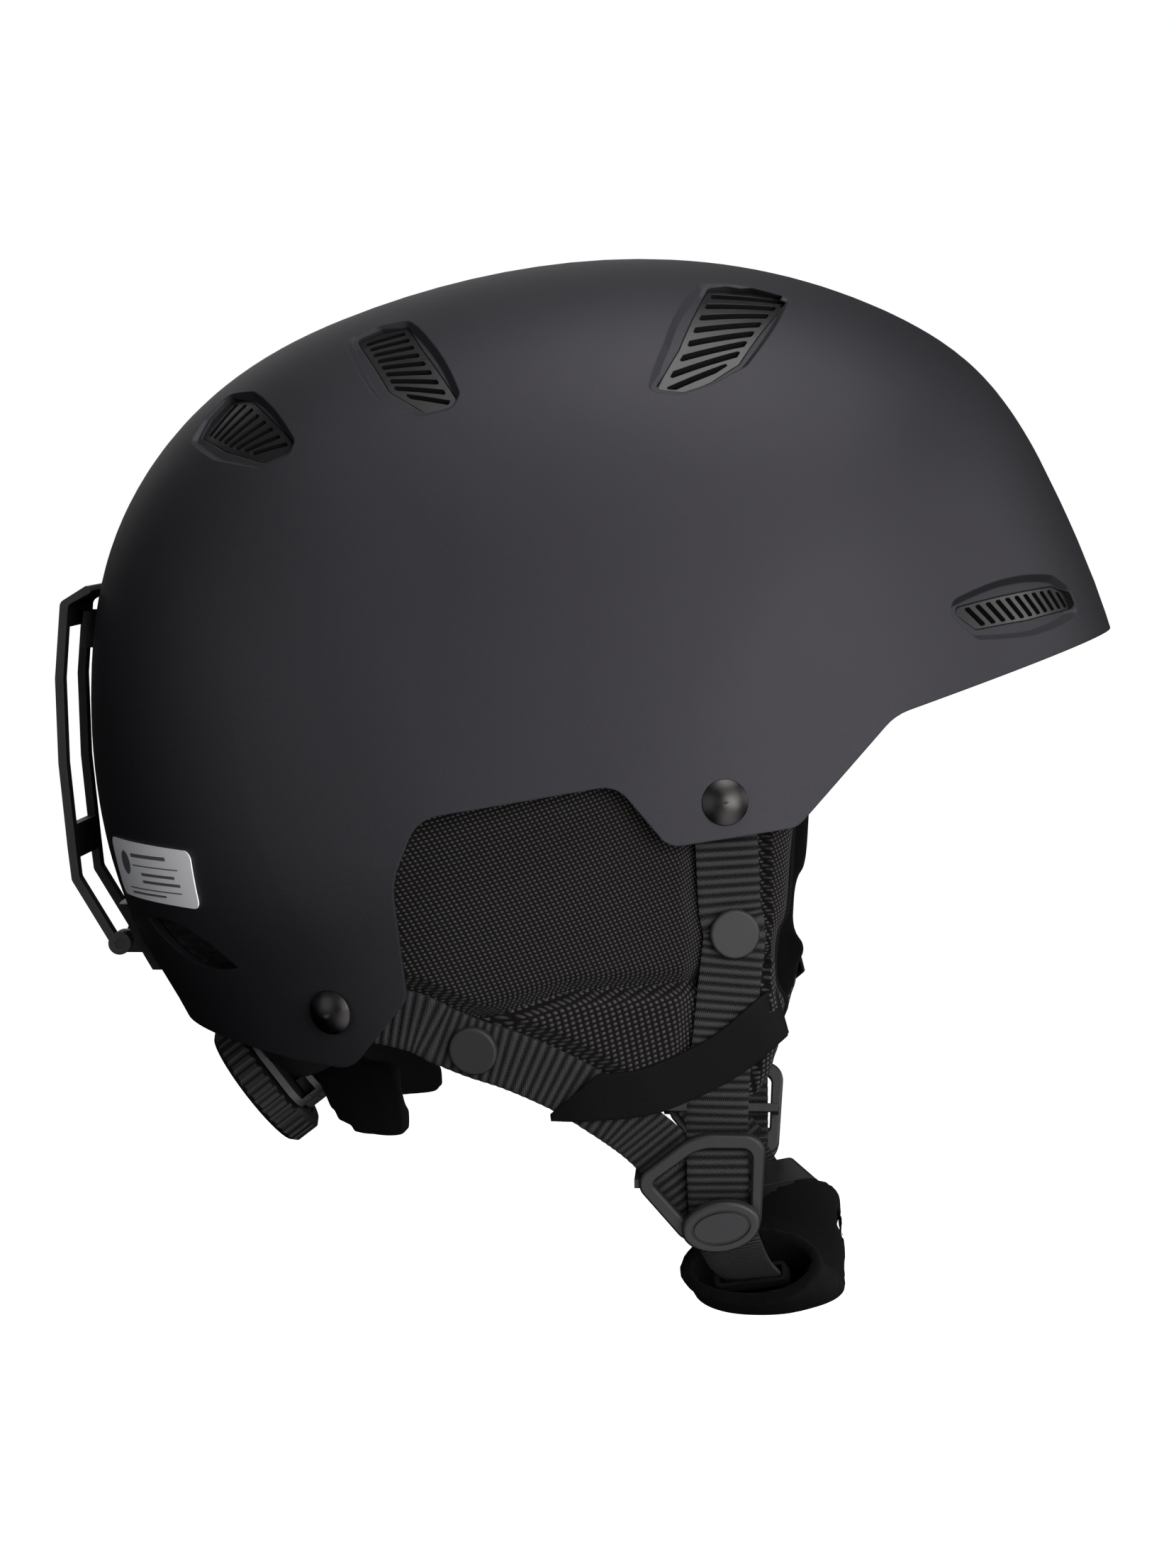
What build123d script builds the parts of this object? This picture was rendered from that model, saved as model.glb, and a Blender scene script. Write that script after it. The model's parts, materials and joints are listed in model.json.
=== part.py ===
from build123d import *
import os
from math import atan2, cos, pi, radians, sin

# Ski helmet for an adult head of medium size, in millimetres.
# Origin: the middle of the head cavity on the ear-to-ear line.
# +X is forward, +Y is the wearer's left, +Z is up.  "right" is the wearer's right side, at -Y.

# ---------------------------------------------------------------- driving dimensions
SHELL_WALL = 2.6
LINER_GAP = 0.4            # shell to foam
HALF_WIDTH = 107           # shell, ear to middle
CAVITY_HALF_WIDTH = 84     # bare foam, ear to middle
PAD_LAYER = (0.3, 6.5)     # comfort pads: depths measured inward from the foam
EAR_AXIS = (0, -8)         # X and Z of the line that the dome's ribs fan out from

STRAP_WIDTH = 16
STRAP_THICK = 1.3
STRAP_LIFT = 1.1           # strap centre above the ear pad's face
EAR_PAD_PANEL = 7.0        # outer woven layer
EAR_PAD_LINING = 5.8       # inner fleece layer
BAND_WIDTH, BAND_THICK = 9, 1.2

RIVET_R, RIVET_SHANK_R = 6, 2
SNAP_R = 6.5
VENT_FLOOR = 1.9           # depth of the recess that a grille sits in
VENT_BOSS = 5.4            # depth of the thickened shell round a vent
GRILLE = (2.0, 4.0)        # depths of a grille's outer and inner face

DIAL_R, DIAL_CORE_R, SHAFT_R = 19, 15, 2.6
PINION_TEETH, PINION_R = 12, 4
RACK_Y = (5.2, 9.6)        # rack strip, from its tooth roots to its back
FIT_CLEAR = 0.05           # radial gap of turned pieces

# Middle-plane outline of the shell, from below the brim over the crown to below the nape (X, Z).
SHELL_CREST = [
    (159.5, -6), (160, 25), (157, 50), (140.5, 96), (115.6, 134.3), (90.5, 149.8), (55.3, 160.6),
    (20.4, 163.2), (-14, 159.3), (-48.8, 149.6), (-83.5, 132.3), (-106.7, 109.3), (-119.5, 84.4),
    (-125.1, 46), (-122.3, 11.4), (-111, -22.3), (-100, -41), (-87, -68), (-62, -100),
]
# Middle-plane outline of the cavity in the foam.
CAVITY_CREST = [
    (110, -10), (113, 20), (112, 50), (104, 80), (88, 108), (62, 129), (25, 140), (-15, 139.5),
    (-55, 127), (-86, 101), (-101, 66), (-105, 35), (-102, 5), (-94, -20), (-84, -42), (-64, -72),
]
# Lower edge of the shell as seen from the side: (X, Z) corners and their radii.
SHELL_RIM = [
    (200, 75), (157, 64), (96, 43), (71, 14.5), (38, 9.5), (24.5, 25.5), (-27, 16.5), (-33.5, 0),
    (-30.3, -31), (-46, -50.5), (-62, -49), (-100, -42.5), (-200, -30),
]
SHELL_RIM_RADII = [4, 14, 6, 6, 8, 10, 20, 5, 7, 6, 4]
LINER_RIM = [
    (200, 78), (152, 65), (100, 47), (86, 34), (-24, 34), (-46, 22), (-46, -30), (-54, -43),
    (-66, -46), (-104, -39), (-200, -24),
]
LINER_RIM_RADII = [4, 10, 12, 10, 8, 8, 6, 6, 4]


# ---------------------------------------------------------------- helpers
def save(name, solid):
    export_step(solid, f"parts/{name}.step")


def save_pair(name, right):
    save(f"{name}_right", right)
    save(f"{name}_left", mirror(right, about=Plane.XZ))


def both(right):
    return [right, mirror(right, about=Plane.XZ)]


def group(solids):
    return Compound(children=[s.solid() for s in solids])


def shell_half_width(t):
    return HALF_WIDTH - 8 * max((t - 0.75) / 0.25, 0) ** 2


def cavity_half_width(t):
    return CAVITY_HALF_WIDTH - 8 * max((t - 0.7) / 0.3, 0) ** 2


SHELL = (Spline(*[(x, 0, z) for x, z in SHELL_CREST]), shell_half_width)
CAVITY = (Spline(*[(x, 0, z) for x, z in CAVITY_CREST]), cavity_half_width)


def dome_face(form, inset, rows=55, cols=37, reach=84.5):
    """One skin of the dome: ribs fan out from the ear axis, each rib a superellipse."""
    crest, half_width = form
    grid = []
    for i in range(rows):
        t = i / (rows - 1)
        point, along = crest @ t, crest % t
        out_x, out_z = along.Z, -along.X
        x = point.X - inset * out_x
        z = point.Z - inset * out_z
        width = half_width(t) - inset
        power = 2.35 - 0.25 * max((t - 0.6) / 0.4, 0)
        row = []
        for j in range(cols):
            a = radians(reach * (2 * j / (cols - 1) - 1))
            r = (abs(cos(a)) ** power + abs(sin(a)) ** power) ** (-1 / power)
            row.append(Vector(
                EAR_AXIS[0] + (x - EAR_AXIS[0]) * r * cos(a),
                width * r * sin(a),
                EAR_AXIS[1] + (z - EAR_AXIS[1]) * r * cos(a),
            ))
        grid.append(row)
    return Face.make_surface_from_array_of_points(grid, tol=0.02)


def close_wall(outer, inner):
    """A solid between two faces with matching edges."""
    sides = []
    for edge in outer.edges():
        match = min(inner.edges(), key=lambda e: (e.center() - edge.center()).length)
        sides.append(Face.make_surface_from_curves(edge, match))
    return Solid(Shell([outer, inner, *sides]))


def dome_wall(outer_form, outer_inset, inner_form, inner_inset):
    return close_wall(dome_face(outer_form, outer_inset), dome_face(inner_form, inner_inset))


def above_rim(corners, radii):
    """Everything above a rim line, right through the helmet from side to side."""
    line = FilletPolyline(*[(x, 0, z) for x, z in corners], radius=radii)
    first, last = corners[0], corners[-1]
    closing = Polyline((last[0], 0, last[1]), (last[0], 0, 220), (first[0], 0, 220), (first[0], 0, first[1]))
    region = Face(Wire([*line.edges(), *closing.edges()]))
    return extrude(region, amount=150, dir=(0, 1, 0), both=True)


def slab(x, y, z):
    """A box from (low, high) pairs."""
    size = [b - a for a, b in (x, y, z)]
    return Pos(*[(a + b) / 2 for a, b in (x, y, z)]) * Box(*size)


def outline_face(plane, points, grow=0.0, radius=2.0):
    """A closed outline with rounded corners, grown outward by the given amount."""
    flat = make_face(Polyline(*points, close=True))
    core = offset(flat, amount=grow - radius, kind=Kind.INTERSECTION)
    return plane * offset(core, amount=radius, kind=Kind.ARC)


def prism(face, low, high, taper=0):
    """Extrude a face from one distance to another along its own plane's normal."""
    normal = face.face().normal_at()
    return extrude(Pos(*(normal * low)) * face, amount=high - low, taper=taper)


def ribbon(path, outward, width, thick, steps=14):
    """A strap along a smooth path; outward gives the way its face looks at each path point."""
    line = Spline(*path)
    marks = [line.param_at_point(point) for point in path]
    sections = []
    k = 0
    for i in range(steps + 1):
        t = i / steps
        while k < len(path) - 2 and t > marks[k + 1]:
            k += 1
        f = (t - marks[k]) / (marks[k + 1] - marks[k])
        look = Vector(*outward[k]) * (1 - f) + Vector(*outward[k + 1]) * f
        along = line % t
        across = along.cross(look).normalized()
        sections.append(Plane(origin=line @ t, x_dir=across, z_dir=along) * Rectangle(width, thick))
    return loft(sections, ruled=True)


# ---------------------------------------------------------------- vents
# Each vent has a plane on the shell (centre, outward normal, across), an outline in that plane, and
# slots: their middles run along a spine, lean gives the first and the last slot's turn in degrees, and
# they stop short of the outline by the margin.
SLOT_WIDTH = 0.54          # share of the distance between neighbouring slots
VENTS = {
    "crown_front": dict(
        centre=(48.7, -57.5, 144.4), normal=(0.128, -0.63, 0.766), across=(1, 0, 0),
        outline=[(-2.8, 21.4), (8.7, 25.5), (19.6, 23), (6.2, -10.8), (-0.7, -18), (-7.9, -22.9),
                 (-15.3, -22.9), (-9.6, -7.6)],
        spine=((8.8, 20.2), (-7.2, -18.6)), slots=8, lean=(9, 33), margin=1.5),
    "crown_mid": dict(
        centre=(-33.3, -59.1, 136.8), normal=(-0.223, -0.626, 0.747), across=(1, 0, 0),
        outline=[(-16.8, 16.3), (-10.1, 19), (-2.8, 17.6), (2.5, 5), (12.8, -16.1), (11.7, -19),
                 (5, -19.8), (-5.3, -10)],
        spine=((-8.6, 14.8), (7.6, -15.6)), slots=9, lean=(6, -21), margin=1.4),
    "crown_rear": dict(
        centre=(-79.4, -53.8, 119.7), normal=(-0.497, -0.557, 0.665), across=(1, 0, 0),
        outline=[(-13.1, 12.9), (-7.4, 18.2), (0.7, 11.2), (16.2, -14.2), (15.3, -17.5),
                 (7.6, -17.4), (-5, -6.9), (-15.6, 6.6)],
        spine=((-8.6, 10.8), (10.6, -12.4)), slots=8, lean=(50, -5), margin=1.4),
    "brow": dict(
        centre=(130.1, -60.1, 72.4), normal=(0.694, -0.656, 0.295), across=(0.72, 0.63, -0.28),
        outline=[(-21.6, -8.5), (-14.2, -11.5), (3.1, -4.3), (23.2, 5.7), (20.7, 9.2), (13.9, 8.7),
                 (-7.2, -0.7), (-20.7, -7)],
        spine=((-15.8, -7.4), (18.2, 6.9)), slots=11, lean=(-30, -39), margin=0.7),
}


def vent_plane(vent):
    normal = Vector(*vent["normal"]).normalized()
    forward = Vector(*vent["across"])
    return Plane(origin=vent["centre"], x_dir=forward - normal * forward.dot(normal), z_dir=normal)


def vent_slots(vent, plane):
    """The slots of a grille, set along the vent's spine and cut off near the grille's edge."""
    (x0, y0), (x1, y1) = vent["spine"]
    count = vent["slots"]
    pitch = ((x1 - x0) ** 2 + (y1 - y0) ** 2) ** 0.5 / (count - 1)
    field = outline_face(Plane.XY, vent["outline"], -vent["margin"], 1.0)
    cuts = []
    for i in range(count):
        f = i / (count - 1)
        lean = vent["lean"][0] * (1 - f) + vent["lean"][1] * f
        apart = pitch * abs(sin(radians(lean) - atan2(y1 - y0, x1 - x0)))
        width = apart * SLOT_WIDTH
        bar = Pos(x0 + (x1 - x0) * f, y0 + (y1 - y0) * f) * Rot(0, 0, lean) * Rectangle(60, width)
        core = offset(bar & field, amount=-width / 4, kind=Kind.INTERSECTION)
        cuts.append(plane * offset(core, amount=width / 4, kind=Kind.ARC))
    return cuts


class Vent:
    """The tools and the grille of one vent on the right side."""

    def __init__(self, spec, layers):
        plane = vent_plane(spec)
        points = spec["outline"]
        self.boss = layers["boss"] & prism(outline_face(plane, points, 5.5, 4), -16, 8)
        bowl = [(x - 0.8, y - 0.6) for x, y in points]
        self.recess = layers["recess"] & prism(outline_face(plane, bowl, 0.9, 2), -5.2, 8, -40)
        self.pocket = layers["pocket"] & prism(outline_face(plane, points, 0.2, 1.6), -16, 8)
        self.window = prism(outline_face(plane, points, -1.6, 1.0), -12, 4)
        self.duct = prism(outline_face(plane, points, -1.2, 1.0), -60, 4)
        self.relief = layers["relief"] & prism(outline_face(plane, points, 6.2, 4), -16, 8)
        plate = layers["grille"] & prism(outline_face(plane, points, 0, 1.5), -16, 8)
        slots = [prism(face, -16, 8) for face in vent_slots(spec, plane)]
        self.grille = plate - slots


def make_vents():
    layers = {
        "boss": dome_wall(SHELL, 0.8, SHELL, VENT_BOSS),
        "recess": dome_wall(SHELL, -6, SHELL, VENT_FLOOR),
        "pocket": dome_wall(SHELL, 0.5, SHELL, GRILLE[1] + 0.05),
        "grille": dome_wall(SHELL, GRILLE[0], SHELL, GRILLE[1]),
        "relief": dome_wall(SHELL, 0.8, SHELL, VENT_BOSS + 0.4),
    }
    return {name: Vent(spec, layers) for name, spec in VENTS.items()}


# ---------------------------------------------------------------- rivets and exhausts
RIVETS = [((52.4, -103.1, 21.1), (0.09, -0.99, 0.1)), ((-51, -90, -35), (-0.38, -0.90, -0.2))]


def rivet_plane(spot):
    centre, normal = spot
    return Plane(origin=centre, x_dir=(1, 0, 0.3), z_dir=normal)


def exhaust(depth):
    """Eye-shaped air outlet low on the side of the nape."""
    plane = Plane(origin=(-91.5, -64, -19.5), x_dir=(0.687, -0.676, -0.266), z_dir=(-0.71, -0.70, -0.06))
    upper = ThreePointArc((-20, 0), (0, 5), (20, 0))
    lower = ThreePointArc((20, 0), (0, -5), (-20, 0))
    return prism(plane * make_face(upper + lower), -depth, 12)


# ---------------------------------------------------------------- shell, foam and inner pads
def make_shell(vents):
    shell = dome_wall(SHELL, 0, SHELL, SHELL_WALL)
    adds, cuts = [], []
    for vent in vents.values():
        adds += both(vent.boss)
        for tool in (vent.recess, vent.pocket, vent.window):
            cuts += both(tool)
    for spot in RIVETS:
        cuts += both(rivet_plane(spot) * Cylinder(RIVET_SHANK_R + 3 * FIT_CLEAR, 30))
    cuts += both(exhaust(12))
    shell = (shell + adds) & above_rim(SHELL_RIM, SHELL_RIM_RADII)
    return shell - cuts


def make_liner(vents):
    foam = dome_wall(SHELL, SHELL_WALL + LINER_GAP, CAVITY, 0)
    foam = foam & above_rim(LINER_RIM, LINER_RIM_RADII)
    cuts = []
    for vent in vents.values():
        cuts += both(vent.relief) + both(vent.duct)
    cuts += both(exhaust(45))
    for spot in RIVETS:
        cuts += both(rivet_plane(spot) * Cylinder(11, 26))
    channel = dome_wall(CAVITY, -7, CAVITY, 2)
    for y in (-36, 0, 36):
        cuts.append(channel & slab((-92, 98), (y - 5, y + 5), (55, 170)))
    cuts += [anchor_plane(side) * Pos(0, 0, 6) * Cylinder(1.8, 16) for side in (1, -1)]
    return foam - cuts


def make_comfort_pads():
    layer = dome_wall(CAVITY, PAD_LAYER[0], CAVITY, PAD_LAYER[1])
    brow = layer & slab((60, 130), (-62, 62), (48, 74))
    crown = layer & (
        slab((-50, 60), (-11, 11), (90, 160)) + slab((-14, 22), (-50, 50), (90, 160)))
    temple = layer & slab((-30, 48), (-90, -50), (42, 78))
    rear = layer & slab((-120, -60), (-44, 44), (18, 60))
    return brow, crown, temple, rear


# ---------------------------------------------------------------- ear pads and straps
EAR_PAD_OUTLINE = [
    (66, 31), (71.5, 24), (72, -6), (68.5, -18), (71, -34), (63, -59), (24, -62.5), (-6, -56),
    (-36, -35), (-40, -6), (-35, 24), (-24, 31),
]
EAR_PAD_RADII = [5, 8, 10, 6, 14, 12, 30, 16, 8, 12, 8, 8]


def pad_y(x, z):
    """Y of the right ear pad's outer face: it follows the head and leans in below the ear."""
    lean = 0.0027 * min(z, 0) ** 2
    return -(96.5 - 0.0022 * (x - 22) ** 2 - lean)


def pad_layer(near, far):
    """A layer of the right ear pad between two depths behind its outer face."""
    faces = []
    for depth in (near, far):
        grid = [[Vector(x, pad_y(x, z) + depth, z) for z in range(-76, 45, 8)] for x in range(-52, 91, 11)]
        faces.append(Face.make_surface_from_array_of_points(grid, tol=0.02))
    return close_wall(*faces)


def make_ear_pad():
    line = FilletPolyline(*[(x, 0, z) for x, z in EAR_PAD_OUTLINE], radius=EAR_PAD_RADII, close=True)
    column = extrude(Face(Wire(line.edges())), amount=130, dir=(0, -1, 0))
    panel = pad_layer(0, EAR_PAD_PANEL) & column
    lining = pad_layer(EAR_PAD_PANEL + 0.2, EAR_PAD_PANEL + 0.2 + EAR_PAD_LINING) & column
    studs = [snap_plane(spot) * Pos(0, 0, -3.2) * Cylinder(3.2, 5) for spot in SNAPS]
    return panel - studs, lining


def on_pad(x, z, lift=STRAP_LIFT):
    return (x, pad_y(x, z) - lift, z)


def pad_out(x, z):
    """Outward direction of the ear pad's face."""
    return (0.0044 * (x - 22), -1, 0.0054 * min(z, 0))


SNAPS = [(54.5, -13.3), (-13.3, -44.4)]
DIVIDER = Plane(origin=(48, -82.6, -81), x_dir=(1, 0, 0), z_dir=(0, -0.970, -0.2425))
MEET = (2.2, -10.5)        # where the webs meet behind the badge, in the divider's plane
OUT = tuple(DIVIDER.z_dir)


def at_divider(x, y, z):
    return tuple(DIVIDER.from_local_coords((x, y, z)))


def snap_plane(spot):
    return Plane(origin=on_pad(*spot), x_dir=(1, 0, 0), z_dir=pad_out(*spot))


def strap_holes(strap, planes, radius):
    return strap - [plane * Cylinder(radius, 18) for plane in planes]


def make_front_strap():
    rivet = rivet_plane(RIVETS[0])
    top = tuple(rivet.from_local_coords((0, 7, -4.4)))
    under = tuple(rivet.from_local_coords((0, 0, -4.4)))
    spots = [(53.3, -5.6), (54.5, -13.3), (53.6, -23), (52.5, -33), (51.5, -42), (50.6, -49),
             (50.1, -56)]
    path = [top, under] + [on_pad(*s) for s in spots]
    path += [at_divider(1.8, 18.2, -1.9), at_divider(1.8, 13, -2.8), at_divider(1.9, 5, -1.0),
             at_divider(2.0, -1, -1.4), at_divider(2.1, -7, -3.1), at_divider(*MEET, -3.1),
             at_divider(2.3, -13.5, -3.1)]
    looks = [tuple(rivet.z_dir)] * 2 + [pad_out(*s) for s in spots] + [OUT] * 7
    strap = ribbon(path, looks, STRAP_WIDTH, STRAP_THICK, 34)
    return strap_holes(strap, [rivet, snap_plane(SNAPS[0])], 2.3)


def make_rear_strap():
    rivet = rivet_plane(RIVETS[1])
    start = tuple(rivet.from_local_coords((-4.5, 1, -5.75)))
    under = tuple(rivet.from_local_coords((0, 0, -5.3)))
    spots = [(-30, -37.5, 1.5), (-22, -41, 1.3), (-13.3, -44.4, STRAP_LIFT), (-4, -47.3, 1.2),
             (5, -51, 1.2), (13, -55, 1.2), (20, -59.5, 1.6), (26.5, -64, 2.0)]
    path = [start, under] + [on_pad(*s) for s in spots]
    path += [at_divider(-14.5, 10, -3.6), at_divider(-7, 1, -4.3), at_divider(-1.5, -6, -4.7),
             at_divider(*MEET, -4.7)]
    looks = [tuple(rivet.z_dir)] * 2 + [pad_out(x, z) for x, z, _ in spots] + [OUT] * 4
    strap = ribbon(path, looks, STRAP_WIDTH, STRAP_THICK, 30)
    return strap_holes(strap, [rivet, snap_plane(SNAPS[1])], 2.3)


def make_keeper_band():
    """Flat elastic over both straps, sewn to the ear pad's edges."""
    spots = [(-1.5, -53.4, 2.6), (6, -55, 3.2), (16, -56.5, 3.7), (30, -55.5, 3.7), (40, -52, 3.1),
             (50, -47, 2.8), (57, -42, 2.8), (62.5, -37, 2.5), (67.5, -32, 1.6)]
    path = [on_pad(x, z, lift) for x, z, lift in spots]
    return ribbon(path, [pad_out(x, z) for x, z, _ in spots], 13, 0.9, 16)


def make_snaps():
    caps, studs = [], []
    for spot in SNAPS:
        plane = snap_plane(spot)
        disc = Cylinder(SNAP_R, 2.0)
        disc = fillet(disc.edges().filter_by(GeomType.CIRCLE).sort_by(Axis.Z)[-1], 0.8)
        caps += both(plane * Pos(0, 0, STRAP_THICK / 2 + 0.2 + 1.0) * disc)
        shank = Pos(0, 0, -1.4) * Cylinder(1.9, 4.2) + Pos(0, 0, -3.2) * Cylinder(3.0, 1.6)
        studs += both(plane * shank)
    return group(caps), group(studs)


def make_rivets():
    heads, washers = [], []
    ball = RIVET_R ** 2 / (2 * 2.2) + 1.1
    for spot in RIVETS:
        plane = rivet_plane(spot)
        dome = Pos(0, 0, 2.6 - ball) * Sphere(ball) & Pos(0, 0, 1.7) * Cylinder(RIVET_R, 2.6)
        heads += both(plane * (dome + Pos(0, 0, -3.5) * Cylinder(RIVET_SHANK_R, 8.4)))
        washers += both(plane * (Pos(0, 0, -7.0) * (Cylinder(5, 1) - Cylinder(2.3, 2))))
    return group(heads), group(washers)


def make_divider():
    """Three-way strap divider: a rounded ring with a bar behind the webs."""
    outer = FilletPolyline((-20.5, 1.5), (-4, 14.8), (14.6, 14.6), (13.2, -11), (-7, -15),
                           radius=[4.5, 14, 5, 3, 4], close=True)
    inner = FilletPolyline((-15.6, 1.2), (-3, 11), (11.0, 11), (10.5, -5.5), (-6.5, -9.5),
                           radius=[1.8, 11, 2.5, 2, 2], close=True)
    ring = extrude(make_face(outer) - make_face(inner), amount=3)
    ring = chamfer(ring.edges().filter_by(Axis.Z, reverse=True), 0.5)
    ring = Pos(0, 0, -1.5) * ring
    bar = slab((-20, 13.2), (-0.6, 1.8), (-8.2, -6.2))
    posts = slab((11.0, 13.2), (-0.6, 1.8), (-8.2, 0)) + slab((-20, -18.3), (-0.6, 1.8), (-8.2, 0))
    return DIVIDER * (ring + bar + posts)


def make_badge():
    """Oval cap that hides where the webs meet, with a plain sunken oval."""
    tilt = Pos(2.8, -9.8, 1.7) * Rot(0, 0, 12)
    oval = extrude(Ellipse(10.4, 6.9), amount=3)
    oval = fillet(oval.edges().group_by(Axis.Z)[-1], 0.9)
    groove = extrude(Pos(0, 0, 2.4) * (Ellipse(7.9, 4.8) - Ellipse(7.2, 4.1)), amount=1)
    return DIVIDER * tilt * (oval - groove)


# ---------------------------------------------------------------- chin strap, pad and buckle
PAD_FAR_END = Vector(69, 40, -104)
BUCKLE_START = Vector(54, 70, -95.5)
BUCKLE_AXIS = (PAD_FAR_END - BUCKLE_START).normalized()
BUCKLE_ACROSS = BUCKLE_AXIS.cross(Vector(0, 0.3, -0.95)).normalized()
BUCKLE = Plane(origin=BUCKLE_START, x_dir=BUCKLE_ACROSS, z_dir=BUCKLE_AXIS)   # y: towards the skin
SOCKET = (6, 21)            # span along the buckle's axis
PLUG = (21.5, 28)
PRONG = 9.5

CHIN_LINE = [(56.7, -46, -107), (60.5, -25, -115), (64, 0, -118.5), (67.5, 20, -114), tuple(PAD_FAR_END)]
CHIN_STARTS = (Vector(0.2, 0.92, -0.36), BUCKLE_AXIS * -1)          # directions at the two ends
CHIN_ACROSS = [(1, 0.2, -0.05), (1, 0.12, 0.02), (1, 0.05, 0.06), (1, 0.15, 0.06), tuple(BUCKLE_ACROSS)]
CHIN_OUTER = [(38, 22), (39, 15), (39, 13), (38, 16), (38, 20)]     # width, height of each section
CHIN_INNER = [(32, 16.5), (30, 9), (22, 4.6), (31, 10.5), (33, 15)]


def chin_sections(sizes, overrun=0.0):
    """Oval sections along the chin line; overrun pushes the first and the last outward."""
    line = Spline(*CHIN_LINE, tangents=CHIN_STARTS)
    sections = []
    for i, (width, height) in enumerate(sizes):
        t = i / (len(sizes) - 1)
        along = line % t
        across = Vector(*CHIN_ACROSS[i])
        across = across - along * across.dot(along)
        push = {0: -overrun, len(sizes) - 1: overrun}.get(i, 0)
        origin = line @ t + along * push
        sections.append(Plane(origin=origin, x_dir=across, z_dir=along) * Ellipse(width / 2, height / 2))
    return sections


def make_chin_pad():
    return loft(chin_sections(CHIN_OUTER)) - loft(chin_sections(CHIN_INNER, 1.0))


def make_chin_strap_right():
    path = [at_divider(1.5, -8, -6.1), at_divider(3, -13, -6.1), (53, -70, -98.5), (55, -60, -104.5),
            (57, -46, -109), (60.5, -25, -116), (63.4, -4, -118.5)]
    looks = [OUT, OUT, (0, -0.85, -0.5), (0, -0.65, -0.75), (0, -0.45, -0.9), (0, -0.25, -0.97),
             (0, 0, -1)]
    return ribbon(path, looks, STRAP_WIDTH, STRAP_THICK, 18)


def make_chin_strap_left():
    end = tuple(BUCKLE.from_local_coords((0, 0, PLUG[1] + 0.4)))
    back = tuple(BUCKLE.from_local_coords((0, 0, PLUG[1] + 5)))
    path = [(64.5, 4, -118.3), (67, 18, -114.8), (68.6, 31, -108.5), back, end]
    look = tuple(BUCKLE.y_dir * -1)
    looks = [(0, 0.02, -1), (0, 0.3, -1), (0, 0.4, -1), look, look]
    return ribbon(path, looks, STRAP_WIDTH, STRAP_THICK, 14)


def make_buckle_tail():
    left_side = [at_divider(1.5, -8, -6.2), at_divider(2.2, -13, -6.6)]
    path = [(x, -y, z) for x, y, z in left_side]
    path += [tuple(BUCKLE.from_local_coords((0, 0, s))) for s in (1.5, SOCKET[0] - 0.4)]
    out_left = (OUT[0], -OUT[1], OUT[2])
    look = tuple(BUCKLE.y_dir * -1)
    return ribbon(path, [out_left, out_left, look, look], STRAP_WIDTH, STRAP_THICK, 14)


def make_socket():
    length = SOCKET[1] - SOCKET[0]
    body = extrude(RectangleRounded(22, 8, 2.6), amount=length)
    mouth = Pos(0, 0, length) * extrude(Rectangle(17.6, 4.4), amount=-12.5)
    side_windows = Pos(0, 0, length - 7.5) * Box(30, 4.4, 7)
    web_slot = Pos(0, 0, 1.6) * Box(17.5, 2.2, 5)
    return BUCKLE * Pos(0, 0, SOCKET[0]) * (body - mouth - side_windows - web_slot)


def make_plug():
    length = PLUG[1] - PLUG[0]
    body = extrude(RectangleRounded(21, 7.4, 2.2), amount=length)
    web_slot = Pos(0, 0, length) * Box(17.5, 2.2, 6)
    prongs = []
    for side in (-1, 1):
        prongs.append(Pos(side * 6.2, 0, -PRONG / 2) * Box(2.2, 3.6, PRONG))
        prongs.append(Pos(side * 6.9, 0, -PRONG + 1.6) * Box(3.2, 3.6, 3.2))
    prongs.append(Pos(0, 0, -PRONG / 2) * Box(2.4, 3.2, PRONG))
    return BUCKLE * Pos(0, 0, PLUG[0]) * (body - web_slot + prongs)


def make_pad_loops():
    """Two elastic loops that hold the chin strap inside the pad's mouth."""
    loops = []
    along = Vector(0.16, 0.92, -0.36)
    for s in (0.3, 4.6):
        plane = Plane(origin=Vector(57.1, -45.2, -109.2) + along * s, x_dir=(1, 0.1, 0.05), z_dir=along)
        loop = RectangleRounded(19.6, 5.2, 1.4) - RectangleRounded(17.4, 3.6, 0.8)
        loops.append(plane * extrude(loop, amount=2.6))
    return group(loops)


# ---------------------------------------------------------------- fit system
DIAL = Plane(origin=(-75, 0, -60), x_dir=(0, -1, 0), z_dir=(-0.79, 0, -0.61))
HOUSING = dict(half=21, tall=24, low=-9.6, split=-5.4, high=-1.0)
CHANNEL = (10.1, -7.8, -3.0)       # half height, low and high of the channel the racks run in


def tooth(width, base, tip):
    return make_face(Polyline((base, -0.92 * width), (tip, -0.3 * width), (tip, 0.3 * width),
                              (base, 0.92 * width), close=True))


def make_dial():
    """Thumb wheel core with its shaft and pinion, in one piece."""
    core = Cylinder(DIAL_CORE_R, 7.4)
    core = fillet(core.edges().group_by(Axis.Z)[-1], 1.2)
    core = Pos(0, 0, 3.9) * core - Pos(0, 0, 8.6) * Cylinder(10, 4)
    shaft = Pos(0, 0, -1.5) * Cylinder(SHAFT_R, 5)
    pitch = 2 * pi * PINION_R / PINION_TEETH
    wheel = Circle(3.3)
    for i in range(PINION_TEETH):
        wheel += Rot(0, 0, 360 * i / PINION_TEETH) * tooth(pitch * 0.24, 3.1, 4.5)
    pinion = Pos(0, 0, -7.0) * extrude(wheel, amount=3.6)
    return DIAL * (core + shaft + pinion)


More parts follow.
